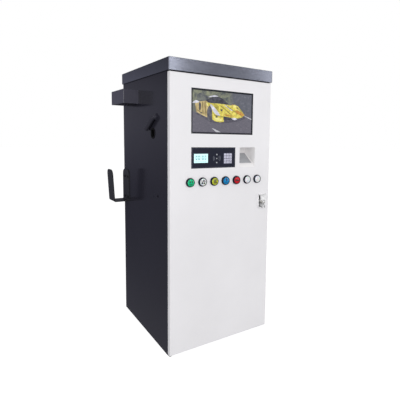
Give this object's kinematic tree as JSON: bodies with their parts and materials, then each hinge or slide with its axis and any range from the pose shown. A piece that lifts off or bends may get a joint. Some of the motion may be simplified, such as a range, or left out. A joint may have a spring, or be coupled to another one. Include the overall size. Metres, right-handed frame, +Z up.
{
  "type": "self-service pay station",
  "caption": "Floor-standing self-service pay and control cabinet with a hinged front door, screen, keypad, code scanner pocket, lit push buttons, gun holster and hose hook.",
  "frame": {"origin": "on the floor, at the centre of the anchor-hole pattern in the base plate", "axes": "+X to the user's right, the door faces -Y, +Z up"},
  "size_m": [0.72, 0.7482, 1.5],
  "materials": {
    "cabinet_paint": "satin powder coat",
    "holster_paint": "satin powder coat",
    "hook_paint": "satin powder coat",
    "roof_metal": "metallic powder coat",
    "door_paint": "satin powder coat",
    "zinc_steel": "zinc plated",
    "galvanised_steel": "galvanised",
    "perforated_aluminium": "bare sheet",
    "seal_rubber": "matte",
    "grey_plastic": "moulded",
    "terminal_plastic": "moulded",
    "black_plastic": "moulded",
    "dark_plastic": "moulded",
    "bezel_plastic": "fine texture",
    "bezel_gloss": "polished",
    "screen_glass": null,
    "fascia_gloss": "back-printed acrylic",
    "lcd_glass": "lit segment display",
    "keypad_plastic": "moulded",
    "key_plastic": "moulded with plain numbers",
    "scanner_glass": "tinted window",
    "zinc_cast": "die cast",
    "lock_chrome": "polished",
    "cap_green": "translucent",
    "cap_white": "translucent",
    "cap_yellow": "translucent",
    "cap_blue": "translucent",
    "cap_red": "translucent"
  },
  "bodies": {
    "cabinet": {"base_plate": "cabinet_paint", "cabinet_shell": "cabinet_paint", "cable_gland": "black_plastic", "circuit_breakers": "grey_plastic", "din_rails": "galvanised_steel", "door_gasket": "seal_rubber", "equipment_plate": "galvanised_steel", "frame_rails": "cabinet_paint", "gun_holster": "holster_paint", "hinge_brackets": "cabinet_paint", "hinge_pins": "zinc_steel", "hose_grommet": "seal_rubber", "hose_hook": "hook_paint", "outlet_elbow": "dark_plastic", "power_supply": "perforated_aluminium", "roof_bolts": "zinc_steel", "roof_cap": "roof_metal", "side_bolts": "hook_paint", "terminal_blocks": "terminal_plastic", "top_plate": "cabinet_paint"},
    "door": {"door_panel": "door_paint", "door_pivot_blocks": "zinc_steel", "display_bezel": "bezel_plastic", "display_panel": "screen_glass", "display_housing": "black_plastic", "control_fascia": "fascia_gloss", "lcd_window": "lcd_glass", "controller_housing": "black_plastic", "keypad_plate": "keypad_plastic", "scanner_pocket": "door_paint", "scanner_window": "scanner_glass", "scanner_module": "black_plastic", "button_bezels": "bezel_gloss", "button_locknuts": "black_plastic", "button_switches": "black_plastic", "lock_housing": "zinc_cast"},
    "lock_spindle": {"lock_spindle": "zinc_steel", "lock_cam": "zinc_steel", "handle_pin": "zinc_steel"},
    "lock_handle": {"lock_handle": "lock_chrome"},
    "key_cylinder": {"key_cylinder": "lock_chrome"},
    "button_green": {"button_cap_green": "cap_green"},
    "button_white_1": {"button_cap_white_1": "cap_white"},
    "button_yellow": {"button_cap_yellow": "cap_yellow"},
    "button_blue": {"button_cap_blue": "cap_blue"},
    "button_red": {"button_cap_red": "cap_red"},
    "button_white_2": {"button_cap_white_2": "cap_white"},
    "button_white_3": {"button_cap_white_3": "cap_white"},
    "key_1": {"key_1": "key_plastic"},
    "key_2": {"key_2": "key_plastic"},
    "key_3": {"key_3": "key_plastic"},
    "key_4": {"key_4": "key_plastic"},
    "key_5": {"key_5": "key_plastic"},
    "key_6": {"key_6": "key_plastic"},
    "key_7": {"key_7": "key_plastic"},
    "key_8": {"key_8": "key_plastic"},
    "key_9": {"key_9": "key_plastic"},
    "key_clear": {"key_clear": "key_plastic"},
    "key_0": {"key_0": "key_plastic"},
    "key_enter": {"key_enter": "key_plastic"}
  },
  "joints": [
    {"name": "door_swing", "type": "hinge", "parent": "cabinet", "child": "door", "pos_m": [-0.297, -0.34, 0.72], "axis": [0, 0, -1], "range_deg": [0, 110]},
    {"name": "spindle_turn", "type": "hinge", "parent": "door", "child": "lock_spindle", "pos_m": [0.254, -0.34, 0.762], "axis": [0, -1, 0], "range_deg": [0, 90]},
    {"name": "handle_flip", "type": "hinge", "parent": "lock_spindle", "child": "lock_handle", "pos_m": [0.254, -0.372, 0.762], "axis": [1, 0, 0], "range_deg": [0, 40]},
    {"name": "key_turn", "type": "hinge", "parent": "door", "child": "key_cylinder", "pos_m": [0.254, -0.368, 0.736], "axis": [0, -1, 0], "range_deg": [0, 90]},
    {"name": "press_green", "type": "slide", "parent": "door", "child": "button_green", "axis": [0, 1, 0], "range_m": [0, 0.004], "stiffness_N_per_m": 600, "springref_m": -0.002},
    {"name": "press_white_1", "type": "slide", "parent": "door", "child": "button_white_1", "axis": [0, 1, 0], "range_m": [0, 0.004], "stiffness_N_per_m": 600, "springref_m": -0.002},
    {"name": "press_yellow", "type": "slide", "parent": "door", "child": "button_yellow", "axis": [0, 1, 0], "range_m": [0, 0.004], "stiffness_N_per_m": 600, "springref_m": -0.002},
    {"name": "press_blue", "type": "slide", "parent": "door", "child": "button_blue", "axis": [0, 1, 0], "range_m": [0, 0.004], "stiffness_N_per_m": 600, "springref_m": -0.002},
    {"name": "press_red", "type": "slide", "parent": "door", "child": "button_red", "axis": [0, 1, 0], "range_m": [0, 0.004], "stiffness_N_per_m": 600, "springref_m": -0.002},
    {"name": "press_white_2", "type": "slide", "parent": "door", "child": "button_white_2", "axis": [0, 1, 0], "range_m": [0, 0.004], "stiffness_N_per_m": 600, "springref_m": -0.002},
    {"name": "press_white_3", "type": "slide", "parent": "door", "child": "button_white_3", "axis": [0, 1, 0], "range_m": [0, 0.004], "stiffness_N_per_m": 600, "springref_m": -0.002},
    {"name": "press_key_1", "type": "slide", "parent": "door", "child": "key_1", "axis": [0, 1, 0], "range_m": [0, 0.0008], "stiffness_N_per_m": 1500, "springref_m": -0.0004},
    {"name": "press_key_2", "type": "slide", "parent": "door", "child": "key_2", "axis": [0, 1, 0], "range_m": [0, 0.0008], "stiffness_N_per_m": 1500, "springref_m": -0.0004},
    {"name": "press_key_3", "type": "slide", "parent": "door", "child": "key_3", "axis": [0, 1, 0], "range_m": [0, 0.0008], "stiffness_N_per_m": 1500, "springref_m": -0.0004},
    {"name": "press_key_4", "type": "slide", "parent": "door", "child": "key_4", "axis": [0, 1, 0], "range_m": [0, 0.0008], "stiffness_N_per_m": 1500, "springref_m": -0.0004},
    {"name": "press_key_5", "type": "slide", "parent": "door", "child": "key_5", "axis": [0, 1, 0], "range_m": [0, 0.0008], "stiffness_N_per_m": 1500, "springref_m": -0.0004},
    {"name": "press_key_6", "type": "slide", "parent": "door", "child": "key_6", "axis": [0, 1, 0], "range_m": [0, 0.0008], "stiffness_N_per_m": 1500, "springref_m": -0.0004},
    {"name": "press_key_7", "type": "slide", "parent": "door", "child": "key_7", "axis": [0, 1, 0], "range_m": [0, 0.0008], "stiffness_N_per_m": 1500, "springref_m": -0.0004},
    {"name": "press_key_8", "type": "slide", "parent": "door", "child": "key_8", "axis": [0, 1, 0], "range_m": [0, 0.0008], "stiffness_N_per_m": 1500, "springref_m": -0.0004},
    {"name": "press_key_9", "type": "slide", "parent": "door", "child": "key_9", "axis": [0, 1, 0], "range_m": [0, 0.0008], "stiffness_N_per_m": 1500, "springref_m": -0.0004},
    {"name": "press_key_clear", "type": "slide", "parent": "door", "child": "key_clear", "axis": [0, 1, 0], "range_m": [0, 0.0008], "stiffness_N_per_m": 1500, "springref_m": -0.0004},
    {"name": "press_key_0", "type": "slide", "parent": "door", "child": "key_0", "axis": [0, 1, 0], "range_m": [0, 0.0008], "stiffness_N_per_m": 1500, "springref_m": -0.0004},
    {"name": "press_key_enter", "type": "slide", "parent": "door", "child": "key_enter", "axis": [0, 1, 0], "range_m": [0, 0.0008], "stiffness_N_per_m": 1500, "springref_m": -0.0004}
  ]
}
